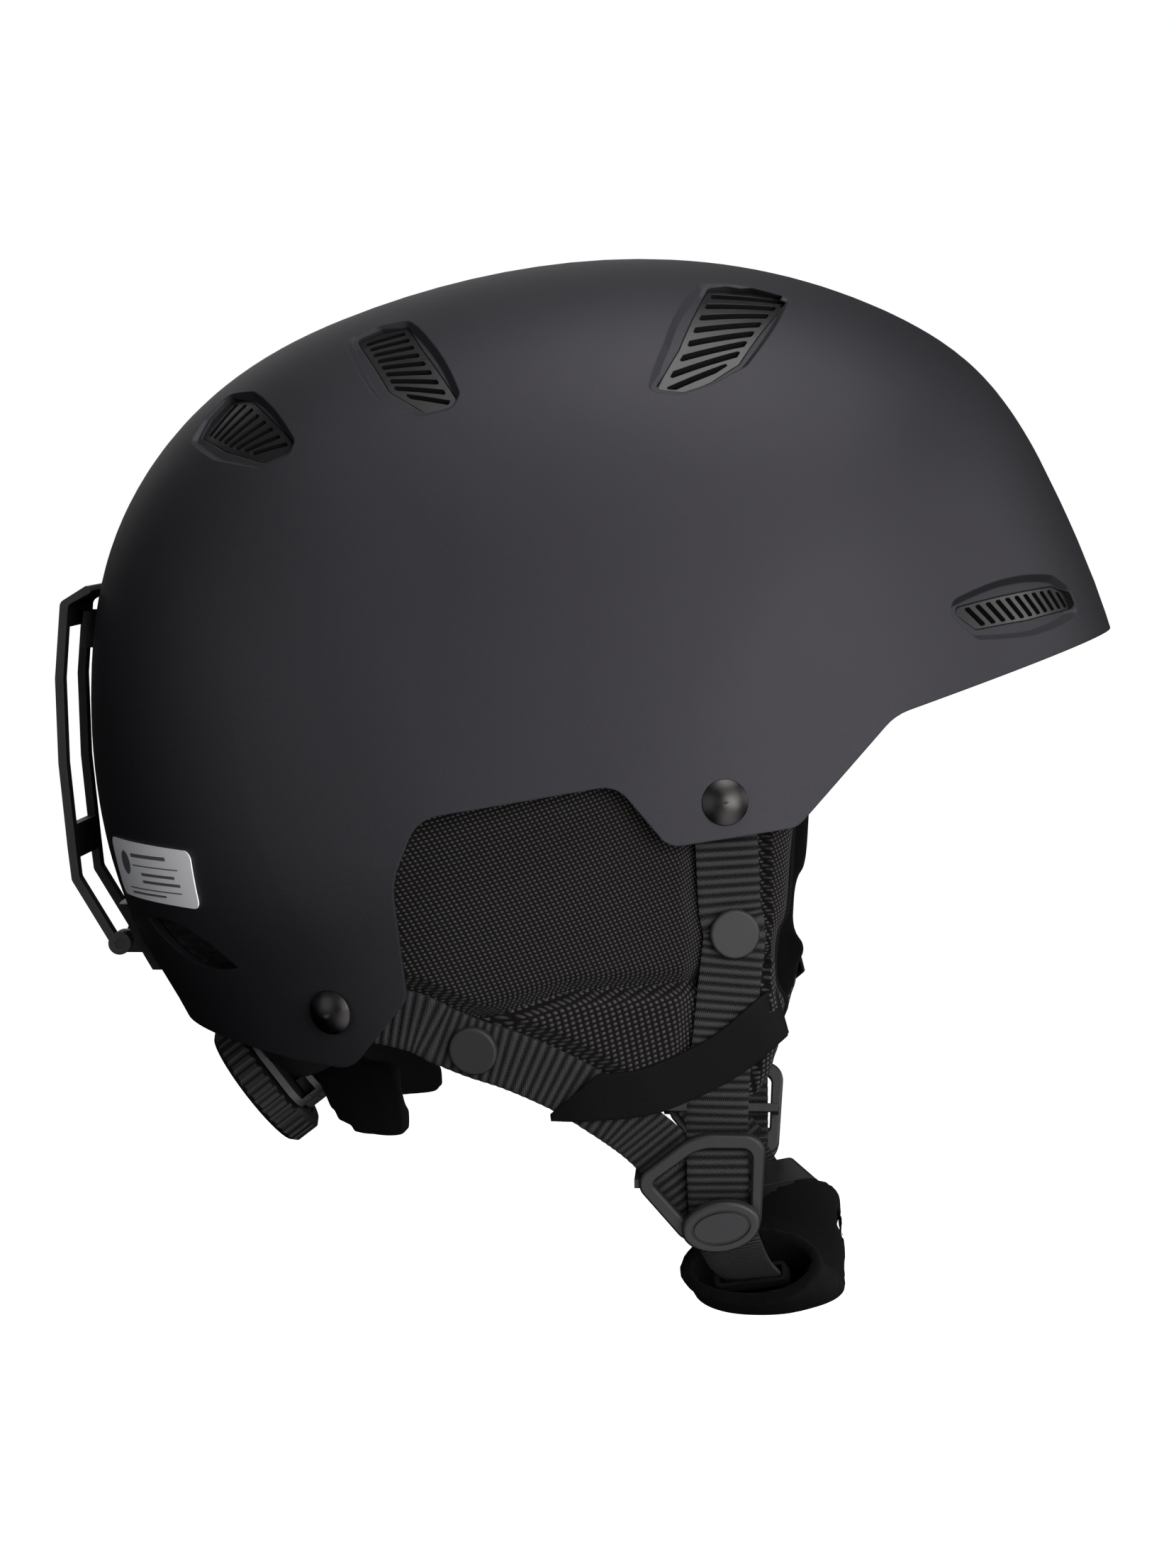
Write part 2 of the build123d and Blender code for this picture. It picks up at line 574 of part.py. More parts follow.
def make_grip():
    ring = Cylinder(DIAL_R, 9) - Cylinder(DIAL_CORE_R + FIT_CLEAR, 12)
    ring = chamfer(ring.edges().filter_by(GeomType.CIRCLE).sort_by(SortBy.RADIUS)[-2:], 1.4)
    grooves = [Rot(0, 0, 10 * i) * Pos(DIAL_R + 0.5, 0, 0) * Cylinder(1.1, 12) for i in range(36)]
    return DIAL * Pos(0, 0, 4.3) * (ring - grooves)


def housing_block(low, high):
    plate = RectangleRounded(2 * HOUSING["half"], HOUSING["tall"], 7) + Circle(14)
    return Pos(0, 0, low) * extrude(plate, amount=high - low)


def make_housing():
    half, low, high = CHANNEL
    channel = slab((-40, 40), (-half, half), (low, high))
    bore = Cylinder(SHAFT_R + FIT_CLEAR, 30)
    front = housing_block(HOUSING["split"] + 0.1, HOUSING["high"]) - channel - bore
    back = housing_block(HOUSING["low"], HOUSING["split"]) - channel
    return DIAL * front, DIAL * back


def make_rack(side):
    """Rack strip: side 1 runs to the right above the pinion, -1 to the left below it."""
    pitch = 2 * pi * PINION_R / PINION_TEETH
    strip = slab((-11, 27), RACK_Y, (-7.0, -3.5))
    for i in range(-4, 5):
        place = Pos((i + 0.5) * pitch, 0) * Rot(0, 0, -90)
        strip += Pos(0, 0, -7.0) * extrude(place * tooth(pitch * 0.24, -5.4, -3.75), amount=3.5)
    return DIAL * Rot(0, 0, 0 if side > 0 else 180) * strip


def band_path(side):
    start = DIAL.from_local_coords((side * 27.4, side * 7.4, -5.3))
    second = DIAL.from_local_coords((side * 33, side * 7.0, -5.6))
    points = [(-63, 44, -52.5), (-46, 58.5, -41.5), (-18, 70, -18), (18, 73.5, 8), (44, 70, 29),
              (56, 65.5, 42)]
    return [tuple(start), tuple(second)] + [(x, -side * y, z) for x, y, z in points]


def make_band(side):
    path = band_path(side)
    looks = [(-0.79, 0, -0.61)] * 2 + [(-0.7, -side * 0.7, -0.2), (-0.45, -side * 0.9, -0.1),
             (-0.2, -side, 0), (0, -side, 0.05), (0.12, -side, 0.1), (0.2, -side, 0.1)]
    band = ribbon(path, looks, BAND_WIDTH, BAND_THICK, 30)
    return band - anchor_plane(side) * Cylinder(2.0, 12)


def anchor_plane(side):
    """Where the front end of a fit belt is pinned to the foam; its normal points into the foam."""
    line = Spline(*band_path(side))
    return Plane(origin=line @ 0.965, x_dir=line % 0.965, z_dir=(0.2, -side, 0.1))


def make_anchor_pins():
    pins = []
    for side in (1, -1):
        pin = Pos(0, 0, -1.9) * Cylinder(4, 1.6) + Pos(0, 0, 4) * Cylinder(1.7, 11)
        pins.append(anchor_plane(side) * pin)
    return group(pins)


def make_yoke():
    """Two arms that hang the dial's housing from the foam at the back of the head."""
    foot = tuple(DIAL.from_local_coords((13, 12.3, -7.4)))
    path = [foot, (-82, -13, -34), (-90, -13, -16), (-95.5, -13, 0), (-98.3, -13, 12)]
    arm = ribbon(path, [(-0.9, 0, -0.4)] * 5, 8, 1.4, 10)
    return group(both(arm))


def make_nape_pad():
    half = [(-35, 52, -61), (-49, 43, -61), (-58.5, 28, -56), (-61.6, 12, -52.8)]
    path = [(x, -y, z) for x, y, z in half] + [(x, y, z) for x, y, z in reversed(half)]
    looks = [(-0.55, -0.83, 0.1), (-0.75, -0.6, 0), (-0.85, -0.3, -0.3), (-0.79, -0.05, -0.55)]
    looks += [(x, -y, z) for x, y, z in reversed(looks)]
    return ribbon(path, looks, 22, 6, 26)


# ---------------------------------------------------------------- goggle strap clip
HINGE = (-115.8, -23.2)      # X, Z of the clip's hinge pin
PIN_R, KNUCKLE_R = 1.25, 3.1
CLIP_LINE = [(-123.6, 73.6), (-130.6, 69.5), (-132.0, 49), (-131.2, 26), (-128.8, 3), (-127.8, -5.5)]
CLIP_HALF = 24
CLIP_THICK = 2.3


def make_clip():
    chain = CLIP_LINE + [(HINGE[0] - 1.5, HINGE[1] + 0.6)]
    profile = Plane.XZ * make_face(band_outline(chain, CLIP_THICK))
    body = extrude(profile, amount=CLIP_HALF, both=True)
    body += Pos(HINGE[0], 0, HINGE[1]) * Rot(90, 0, 0) * Cylinder(KNUCKLE_R, 2 * CLIP_HALF)
    body -= slab((-140, -123), (-17.5, 17.5), (9, 63))
    body -= slab((-140, -105), (-17.5, 17.5), (-40, 0))
    body -= Pos(HINGE[0], 0, HINGE[1]) * Rot(90, 0, 0) * Cylinder(PIN_R + FIT_CLEAR, 60)
    return body


def band_outline(points, thick):
    """A closed outline with rounded corners round an open chain of points."""
    left, right = [], []
    for i, (x, z) in enumerate(points):
        x0, z0 = points[max(i - 1, 0)]
        x1, z1 = points[min(i + 1, len(points) - 1)]
        length = ((x1 - x0) ** 2 + (z1 - z0) ** 2) ** 0.5
        nx, nz = -(z1 - z0) / length * thick / 2, (x1 - x0) / length * thick / 2
        left.append((x + nx, z + nz))
        right.append((x - nx, z - nz))
    radii = [0.7] + [2.0] * (len(points) - 2) + [0.7]
    return FilletPolyline(*left, *reversed(right), radius=radii * 2, close=True)


def make_clip_base(layer):
    plate = layer & slab((-140, -80), (-17, 17), (-31, -13))
    lugs = []
    for side in (-1, 1):
        lug = Pos(HINGE[0], side * 14.6, HINGE[1]) * Rot(90, 0, 0) * Cylinder(KNUCKLE_R, 4.8)
        web = slab((HINGE[0], -109.5), (side * 14.6 - 2.4, side * 14.6 + 2.4), (HINGE[1] - 3, HINGE[1] + 3))
        lugs.append(lug + web)
    base = plate + (lugs[0] + lugs[1] - dome_wall(SHELL, -0.1, SHELL, 8))
    return base - Pos(HINGE[0], 0, HINGE[1]) * Rot(90, 0, 0) * Cylinder(PIN_R + FIT_CLEAR, 60)


def make_clip_catch(layer):
    return layer & slab((-140, -100), (-9, 9), (57, 67))


def make_clip_pin():
    return Pos(HINGE[0], 0, HINGE[1]) * Rot(90, 0, 0) * Cylinder(PIN_R, 2 * CLIP_HALF - 0.4)


def make_label():
    """Blank oblong sticker low on the right of the nape."""
    plane = Plane(origin=(-103, -60, -1), x_dir=(0.6, -0.8, -0.03), z_dir=(-0.8, -0.6, 0.02))
    patch = dome_wall(SHELL, -0.4, SHELL, -0.08)
    return patch & prism(plane * RectangleRounded(46, 15.5, 2.5), -20, 20)


# ---------------------------------------------------------------- build
def main():
    os.makedirs("parts", exist_ok=True)
    vents = make_vents()
    save("outer_shell", make_shell(vents))
    save("foam_liner", make_liner(vents))
    for name, vent in vents.items():
        save_pair(f"{name}_grille", vent.grille)

    brow, crown, temple, rear = make_comfort_pads()
    save("brow_pad", brow)
    save("crown_pad", crown)
    save_pair("temple_pad", temple)
    save("rear_pad", rear)
    save("nape_pad", make_nape_pad())

    heads, washers = make_rivets()
    save("shell_rivets", heads)
    save("rivet_washers", washers)
    save("info_label", make_label())

    panel, lining = make_ear_pad()
    save_pair("ear_pad", panel)
    save_pair("ear_pad_lining", lining)
    save_pair("front_strap", make_front_strap())
    save_pair("rear_strap", make_rear_strap())
    save_pair("keeper_band", make_keeper_band())
    caps, studs = make_snaps()
    save("snap_caps", caps)
    save("snap_studs", studs)
    save_pair("strap_divider", make_divider())
    save_pair("divider_badge", make_badge())

    save("chin_pad", make_chin_pad())
    save("chin_pad_loops", make_pad_loops())
    save("chin_strap_right", make_chin_strap_right())
    save("chin_strap_left", make_chin_strap_left())
    save("buckle_tail", make_buckle_tail())
    save("buckle_socket", make_socket())
    save("buckle_plug", make_plug())

    save("fit_dial", make_dial())
    save("dial_grip", make_grip())
    front, back = make_housing()
    save("dial_housing", front)
    save("dial_cover", back)
    for name, side in (("right", 1), ("left", -1)):
        save(f"rack_{name}", make_rack(side))
        save(f"fit_band_{name}", make_band(side))
    save("band_anchor_pins", make_anchor_pins())
    save("dial_yoke", make_yoke())

    skin = dome_wall(SHELL, -2.3, SHELL, -0.1)
    save("goggle_clip", make_clip())
    save("goggle_clip_base", make_clip_base(skin))
    save("goggle_clip_catch", make_clip_catch(dome_wall(SHELL, -4.0, SHELL, -0.1)))
    save("goggle_clip_pin", make_clip_pin())


main()
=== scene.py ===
import bpy
import json
from math import cos, exp, pi, radians, sin
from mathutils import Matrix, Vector, noise


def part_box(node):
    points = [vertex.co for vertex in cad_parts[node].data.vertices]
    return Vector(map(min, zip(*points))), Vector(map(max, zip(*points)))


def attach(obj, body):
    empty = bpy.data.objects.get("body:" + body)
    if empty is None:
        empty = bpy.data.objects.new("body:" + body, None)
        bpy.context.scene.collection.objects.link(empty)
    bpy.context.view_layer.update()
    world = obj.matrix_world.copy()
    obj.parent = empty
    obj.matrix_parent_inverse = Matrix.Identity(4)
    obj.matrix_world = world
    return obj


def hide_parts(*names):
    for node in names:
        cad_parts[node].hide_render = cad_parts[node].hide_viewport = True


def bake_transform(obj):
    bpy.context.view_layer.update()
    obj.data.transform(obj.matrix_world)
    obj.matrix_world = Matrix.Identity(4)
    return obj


# Ski helmet: the CAD frame carries the hard parts, and the soft parts are made here.
# +X is forward, +Y the wearer's left, +Z up. Everything is in metres.
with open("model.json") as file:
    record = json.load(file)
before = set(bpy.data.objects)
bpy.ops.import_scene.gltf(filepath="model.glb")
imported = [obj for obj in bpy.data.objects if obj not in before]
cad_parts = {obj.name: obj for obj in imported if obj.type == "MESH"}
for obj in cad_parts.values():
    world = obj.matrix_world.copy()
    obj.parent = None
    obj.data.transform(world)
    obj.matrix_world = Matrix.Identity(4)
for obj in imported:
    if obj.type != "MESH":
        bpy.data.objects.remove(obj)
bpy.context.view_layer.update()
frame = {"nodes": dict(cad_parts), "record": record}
nodes = frame["nodes"]
mm = 0.001
sides = {"right": 1, "left": -1}          # the right side is modelled, the left one is its mirror
bpy.ops.object.select_all(action="DESELECT")
print("frame loaded:", len(nodes), "CAD nodes")

# Camera, light and floor.
camera = {"azimuth": 3.5, "elevation": 3.5, "distance": 1.6, "aim": (0.0108, 0, 0.0194), "lens": 133.5}
lights = [
    # name, place, size, watts, colour
    ("keySoftbox", (1.05, -1.8, 0.34), 1.5, 46, (1.0, 0.985, 0.985)),
    ("frontSoftbox", (1.95, 0.1, 0.55), 1.0, 12, (1.0, 0.985, 0.98)),
    ("topSoftbox", (0.2, -0.35, 1.75), 1.3, 25, (1.0, 0.99, 1.0)),
    ("fillSoftbox", (-1.6, -1.45, 0.2), 1.6, 9, (0.97, 0.985, 1.0)),
    ("backSoftbox", (-0.6, 1.7, 0.9), 1.4, 4, (1.0, 1.0, 1.0)),
    ("lowSoftbox", (0.4, -0.9, -0.9), 1.1, 7, (1.0, 1.0, 1.0)),
]
ground = {"height": -0.30, "size": 60.0, "shade": 0.3, "glow": 1.0}


def lookAt(thing, target):
    thing.rotation_euler = (Vector(target) - thing.location).to_track_quat("-Z", "Y").to_euler()


def setStage():
    az, el = radians(camera["azimuth"]), radians(camera["elevation"])
    back = Vector((sin(az) * cos(el), -cos(az) * cos(el), sin(el)))
    bpy.ops.object.camera_add(location=Vector(camera["aim"]) + back * camera["distance"])
    view = bpy.context.object
    view.name = "camera"
    view.data.lens = camera["lens"]
    view.data.dof.use_dof = False
    lookAt(view, camera["aim"])
    bpy.context.scene.camera = view
    for name, place, size, watts, colour in lights:
        bpy.ops.object.light_add(type="AREA", location=place)
        lamp = bpy.context.object
        lamp.name = name
        lamp.data.size = size
        lamp.data.energy = watts
        lamp.data.color = colour
        lookAt(lamp, (0, 0, 0))
    bpy.ops.mesh.primitive_plane_add(size=ground["size"], location=(0, 0, ground["height"]))
    floor = bpy.context.object
    floor.name = "floor"
    paint = bpy.data.materials.new("floorPaint")
    paint.use_nodes = True
    shader = paint.node_tree.nodes["Principled BSDF"]
    shader.inputs["Base Color"].default_value = (*[ground["shade"]] * 3, 1)
    shader.inputs["Roughness"].default_value = 0.9
    shader.inputs["Emission Color"].default_value = (1, 1, 1, 1)
    shader.inputs["Emission Strength"].default_value = ground["glow"]
    floor.data.materials.append(paint)
    floor.visible_glossy = False
    floor.visible_diffuse = False
    world = bpy.data.worlds.new("studio")
    bpy.context.scene.world = world
    world.use_nodes = True
    world.node_tree.nodes["Background"].inputs["Color"].default_value = (1, 1, 1, 1)
    world.node_tree.nodes["Background"].inputs["Strength"].default_value = 1.0
    world.cycles_visibility.glossy = False
    world.cycles_visibility.diffuse = False


setStage()
bpy.context.scene.view_settings.view_transform = "Standard"
print("camera, lights and floor are set")


# Shader helpers.
class Value:
    # a shader socket that takes Python's operators
    def __init__(self, finish, socket):
        self.finish = finish
        self.socket = socket

    def math(self, operation, other=0.0, swap=False):
        pair = (other, self) if swap else (self, other)
        return self.finish.node("Math", {"operation": operation}, {0: pair[0], 1: pair[1]})

    def __add__(self, other):
        return self.math("ADD", other)

    def __sub__(self, other):
        return self.math("SUBTRACT", other)

    def __rsub__(self, other):
        return self.math("SUBTRACT", other, swap=True)

    def __mul__(self, other):
        return self.math("MULTIPLY", other)

    def __pow__(self, other):
        return self.math("POWER", other)

    __radd__ = __add__
    __rmul__ = __mul__


class Finish:
    # one material: node() adds a node, sets it and returns its output
    def __init__(self, name, **fixed):
        self.material = bpy.data.materials.new(name)
        self.material.use_nodes = True
        self.tree = self.material.node_tree
        self.shader = self.tree.nodes["Principled BSDF"]
        for key, value in fixed.items():
            self.shader.inputs[key.replace("_", " ")].default_value = value

    def feed(self, socket, value):
        if isinstance(value, Value):
            self.tree.links.new(value.socket, socket)
        else:
            socket.default_value = value

    def node(self, kind, settings=None, values=None, out=0):
        made = self.tree.nodes.new("ShaderNode" + kind)
        for key, value in (settings or {}).items():
            setattr(made, key, value)
        for key, value in (values or {}).items():
            self.feed(made.inputs[key], value)
        return Value(self, made.outputs[out])

    def place(self):
        return self.node("TexCoord", out="Object")

    def uv(self):
        return self.split(self.node("UVMap", {"uv_map": "webbing"}))

    def split(self, vector):
        return [self.node("SeparateXYZ", {}, {0: vector}, out=i) for i in range(3)]

    def grain(self, scale, detail=2.0, rough=0.5):
        return self.node("TexNoise", {}, {"Vector": self.place(), "Scale": scale, "Detail": detail,
                                          "Roughness": rough})

    def waves(self, length, pitch):
        # sine wave along a length in metres, from 0 to 1
        return self.node("Math", {"operation": "SINE"}, {0: length * (2 * pi / pitch)}) * 0.5 + 0.5

    def between(self, value, low, high, toLow=0.0, toHigh=1.0):
        return self.node("MapRange", {"interpolation_type": "SMOOTHSTEP"},
                         {0: value, 1: low, 2: high, 3: toLow, 4: toHigh})

    def blendColours(self, factor, low, high):
        return self.node("Mix", {"data_type": "RGBA"},
                         {"Factor": factor, 6: (*low, 1), 7: (*high, 1)}, out=2)

    def colour(self, value):
        self.feed(self.shader.inputs["Base Color"], value)

    def roughness(self, value):
        self.feed(self.shader.inputs["Roughness"], value)

    def relief(self, height, depth, edge=0.0):
        # bump of a given depth in metres; edge is the radius of softened corners
        values = {"Height": height, "Distance": depth, "Strength": 1.0}
        if edge:
            values["Normal"] = self.node("Bevel", {"samples": 4}, {"Radius": edge})
        self.feed(self.shader.inputs["Normal"], self.node("Bump", {}, values))


# Finishes.
def softTouchShell():
    fin = Finish("softTouchShell", Specular_IOR_Level=0.38, Specular_Tint=(0.92, 0.895, 1.0, 1))
    fine, broad = fin.grain(5200, 3.0, 0.6), fin.grain(14, 3.0)
    fin.colour(fin.blendColours(broad, (0.0126, 0.0121, 0.0142), (0.0154, 0.0149, 0.0174)))
    fin.roughness(fin.between(broad * 0.5 + fine * 0.5, 0.3, 0.7, 0.50, 0.58))
    fin.relief(fine, 0.05 * mm, 0.6 * mm)
    return fin.material


def mouldedPlastic(name, dark, light, rough, grainSize=0.25, depth=0.03, edge=0.25):
    fin = Finish(name, Specular_IOR_Level=0.42)
    fine, broad = fin.grain(1 / (grainSize * mm), 2.0), fin.grain(60, 3.0)
    fin.colour(fin.blendColours(broad, dark, light))
    fin.roughness(fin.between(broad * 0.6 + fine * 0.4, 0.3, 0.7, rough - 0.05, rough + 0.05))
    fin.relief(fine, depth * mm, edge * mm)
    return fin.material


def blackOxide():
    fin = Finish("blackOxide", Metallic=1.0)
    fine, broad = fin.grain(3800, 3.0), fin.grain(180, 4.0)
    fin.colour(fin.blendColours(broad, (0.036, 0.034, 0.034), (0.062, 0.059, 0.058)))
    fin.roughness(fin.between(broad, 0.3, 0.7, 0.34, 0.44))
    fin.relief(fine, 0.02 * mm, 0.2 * mm)
    return fin.material


def beadFoam():
    fin = Finish("beadFoam", Specular_IOR_Level=0.25)
    cells = fin.node("TexVoronoi", {"feature": "F1"}, {"Vector": fin.place(), "Scale": 330.0})
    edges = fin.between(cells, 0.25, 0.75)
    fin.colour(fin.blendColours(edges, (0.018, 0.018, 0.019), (0.007, 0.007, 0.007)))
    fin.roughness(fin.between(fin.grain(900), 0.3, 0.7, 0.72, 0.86))
    fin.relief(1 - edges, 0.25 * mm)
    return fin.material


def brushedFleece():
    fin = Finish("brushedFleece", Sheen_Weight=0.02, Sheen_Roughness=0.5, Specular_IOR_Level=0.06)
    pile, clumps = fin.grain(3200, 4.0, 0.7), fin.grain(420, 3.0, 0.6)
    mixed = pile * 0.55 + clumps * 0.45
    fin.colour(fin.blendColours(mixed, (0.0006, 0.0006, 0.0006), (0.005, 0.0049, 0.0047)))
    fin.roughness(fin.between(mixed, 0.3, 0.7, 0.86, 1.0))
    fin.relief(mixed, 0.55 * mm)
    return fin.material


def wovenNylon():
    # fine twill above the pad's seam, a coarser basket weave below it
    fin = Finish("wovenNylon", Sheen_Weight=0.05, Specular_IOR_Level=0.22)
    x, y, z = fin.split(fin.place())
    along = x + y
    twill = fin.waves(along * 0.9 + z * 0.5, 1.2 * mm) * fin.waves(z * 0.95 - along * 0.35, 1.05 * mm)
    basket = fin.waves(along * 0.92 + z * 0.38, 1.65 * mm) * fin.waves(z * 0.92 - along * 0.38, 1.4 * mm)
    lower = fin.node("Attribute", {"attribute_name": "lowerPanel"}, out="Fac")
    weave = twill * (1 - lower) + basket * lower
    speck = fin.between(weave * (fin.grain(1500, 2.0) * 0.9 + 0.55), 0.1, 0.66)
    fin.colour(fin.blendColours(speck, (0.0012, 0.0011, 0.0011), (0.062, 0.054, 0.054)))
    fin.roughness(fin.between(speck, 0, 1, 0.88, 0.62))
    fin.relief(weave, 0.4 * mm)
    return fin.material


def ribbedWebbing(name, pitch, strength):
    # UV: u across and v along the strap, in metres
    fin = Finish(name, Sheen_Weight=0.04, Specular_IOR_Level=0.25)
    u, v, _ = fin.uv()
    ribs = fin.node("Math", {"operation": "ABSOLUTE"},
                    {0: fin.node("Math", {"operation": "SINE"}, {0: v * (pi / pitch)})})
    threads = fin.waves(u + v * 0.35, 0.52 * mm) * 0.6 + fin.waves(u * 0.4 - v, 0.6 * mm) * 0.4
    # painted highlight on each rib's top and painted shade in the grooves between ribs, mixed with the
    # threads' own light and dark pattern
    shade = ribs * ribs * 0.6 + threads * 0.4 * (fin.grain(2200, 2.0) + 0.5)
    light = fin.between(shade, 0.2, 0.72)
    # colour runs from the painted groove shade to the painted rib-top highlight, with the threads' own tone
    # on top
    fin.colour(fin.blendColours(light, (0.0009, 0.0009, 0.001), (0.030, 0.030, 0.032)))
    fin.roughness(fin.between(shade, 0, 1, 0.82, 0.58))
    fin.relief(ribs * strength + threads * 0.28, 0.4 * mm)
    return fin.material


def flatElastic():
    fin = Finish("flatElastic", Sheen_Weight=0.01, Specular_IOR_Level=0.12)
    u, v, _ = fin.uv()
    knit = fin.waves(u, 0.7 * mm) * 0.6 + fin.waves(v, 0.55 * mm) * 0.4
    fin.colour(fin.blendColours(knit, (0.0014, 0.0014, 0.0015), (0.0032, 0.0032, 0.0033)))
    fin.roughness(fin.between(knit, 0, 1, 0.74, 0.62))
    fin.relief(knit, 0.06 * mm)
    return fin.material


def rubberGrip():
    fin = Finish("rubberGrip", Specular_IOR_Level=0.35)
    fine = fin.grain(4200, 2.0)
    fin.colour(fin.blendColours(fine, (0.006, 0.006, 0.006), (0.011, 0.011, 0.011)))
    fin.roughness(fin.between(fine, 0.3, 0.7, 0.5, 0.62))
    fin.relief(fine, 0.05 * mm, 0.35 * mm)
    return fin.material


def stickerFilm():
    # blank white sticker with a few plain grey rules and a plain disc
    fin = Finish("stickerFilm", Specular_IOR_Level=0.4)
    centre = sum(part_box("info_label"), Vector()) / 2
    along, up = Vector((0.6, -0.8, -0.03)).normalized(), Vector((0, 0, 1))
    local = fin.node("VectorMath", {"operation": "SUBTRACT"}, {0: fin.place(), 1: centre})
    s = fin.node("VectorMath", {"operation": "DOT_PRODUCT"}, {0: local, 1: along}, out="Value")
    t = fin.node("VectorMath", {"operation": "DOT_PRODUCT"}, {0: local, 1: up}, out="Value")
    ink = 0.0
    for height, thick, left, right in [(4.3, 1.0, -8, 12), (1.6, 0.35, -8, 17), (-0.6, 0.8, -3, 15),
                                       (-2.6, 0.8, -3, 17), (-4.7, 0.35, -14, 17), (-6.0, 0.6, -13, 9)]:
        inHeight = fin.node("Math", {"operation": "COMPARE"}, {0: t, 1: height * mm, 2: thick / 2 * mm})
        inWidth = fin.node("Math", {"operation": "COMPARE"},
                           {0: s, 1: (left + right) / 2 * mm, 2: (right - left) / 2 * mm})
        ink = inHeight * inWidth + ink
    reach = (s + 13 * mm) ** 2 + (t - 2 * mm) ** 2
    disc = fin.node("Math", {"operation": "LESS_THAN"}, {0: reach, 1: (3.2 * mm) ** 2})
    shade = fin.node("Math", {"operation": "MINIMUM"}, {0: ink + disc, 1: 1.0})
    fin.colour(fin.blendColours(shade, (0.90, 0.90, 0.92), (0.14, 0.14, 0.16)))
    fin.roughness(fin.between(fin.grain(700), 0.3, 0.7, 0.34, 0.42))
    fin.relief(fin.grain(1600), 0.01 * mm)
    return fin.material


finishes = {
    "shell": softTouchShell(),
    "grille": mouldedPlastic("grilleBlack", (0.008, 0.008, 0.0085), (0.012, 0.012, 0.013), 0.36),
    "clip": mouldedPlastic("clipBlack", (0.010, 0.010, 0.011), (0.015, 0.015, 0.016), 0.46),
    "satin": mouldedPlastic("satinBlack", (0.016, 0.016, 0.018), (0.022, 0.022, 0.024), 0.44, edge=0.4),
    "cap": mouldedPlastic("capBlack", (0.015, 0.015, 0.016), (0.019, 0.019, 0.021), 0.55, 0.12, 0.02, 0.4),
    "belt": mouldedPlastic("beltBlack", (0.010, 0.010, 0.010), (0.016, 0.016, 0.016), 0.5, 0.4),
    "housing": mouldedPlastic("housingGrey", (0.055, 0.055, 0.06), (0.08, 0.08, 0.086), 0.5, 0.3),
    "metal": blackOxide(),
    "foam": beadFoam(),
    "fleece": brushedFleece(),
    "woven": wovenNylon(),
    "webbing": ribbedWebbing("ribbedWebbing", 2.4 * mm, 0.5),
    "fineWebbing": ribbedWebbing("fineWebbing", 1.05 * mm, 0.8),
    "elastic": flatElastic(),
    "rubber": rubberGrip(),
    "label": stickerFilm(),
}
slotFinish = {"shell": "shell", "foam": "foam", "grille": "grille", "fleece": "fleece", "woven": "woven",
              "webbing": "webbing", "elastic": "elastic", "dark_metal": "metal", "satin_plastic": "satin",
              "grey_plastic": "housing", "belt_plastic": "belt", "rubber_grip": "rubber", "label": "label"}
ownFinish = {"goggle_clip": "clip", "snap_caps": "cap", "dial_yoke": "belt"}


def finishFrame():
    for part in frame["record"]["subparts"]:
        name = part["node"]
        finish = finishes[ownFinish.get(name, slotFinish[part["material_slot"]])]
        for holder in nodes[name].material_slots:
            holder.material = finish


finishFrame()
print("finishes made:", len(finishes))


# Modelling helpers.
def choose(piece):
    bpy.ops.object.select_all(action="DESELECT")
    piece.select_set(True)
    bpy.context.view_layer.objects.active = piece


def apply(piece, kind, **settings):
    choose(piece)
    modifier = piece.modifiers.new(kind.lower(), kind)
    for key, value in settings.items():
        setattr(modifier, key, value)
    bpy.ops.object.modifier_apply(modifier=modifier.name)


def paint(piece, finish, slotName):
    piece.data.materials.clear()
    piece.data.materials.append(finishes[finish])


def smoothRail(points, count):
    # evenly spaced points on a smooth curve through the given ones
    ends = [points[0] * 2 - points[1], *points, points[-1] * 2 - points[-2]]
    fine = []
    for i in range(len(points) - 1):
        a, b, c, d = ends[i:i + 4]
        for k in range(24):
            t = k / 24
            fine.append((2 * b + (c - a) * t + (2 * a - 5 * b + 4 * c - d) * t ** 2
                         + (3 * b - a - 3 * c + d) * t ** 3) / 2)
    fine.append(points[-1])
    reach = [0.0]
    for a, b in zip(fine, fine[1:]):
        reach.append(reach[-1] + (b - a).length)
    rail, k = [], 0
    for i in range(count + 1):
        want = reach[-1] * i / count
        while k < len(fine) - 2 and reach[k + 1] < want:
            k += 1
        share = (want - reach[k]) / max(reach[k + 1] - reach[k], 1e-9)
        rail.append(fine[k].lerp(fine[k + 1], share))
    return rail, reach[-1]


def railFrames(route, step):
    # route: (point, outward) pairs; gives centre, across, outward at each station, and the length
    points, looks = [Vector(p) for p, _ in route], [Vector(o).normalized() for _, o in route]
    _, length = smoothRail(points, 60)
    count = max(int(length / step), 8)
    rail, length = smoothRail(points, count)
    nearest = [min(range(count + 1), key=lambda i: (rail[i] - p).length) for p in points]
    frames, k = [], 0
    for i, centre in enumerate(rail):
        while k < len(points) - 2 and i > nearest[k + 1]:
            k += 1
        share = (i - nearest[k]) / max(nearest[k + 1] - nearest[k], 1)
        look = looks[k].lerp(looks[k + 1], min(max(share, 0), 1))
        along = (rail[min(i + 1, count)] - rail[max(i - 1, 0)]).normalized()
        across = along.cross(look).normalized()
        frames.append((centre, across, across.cross(along).normalized()))
    return frames, length


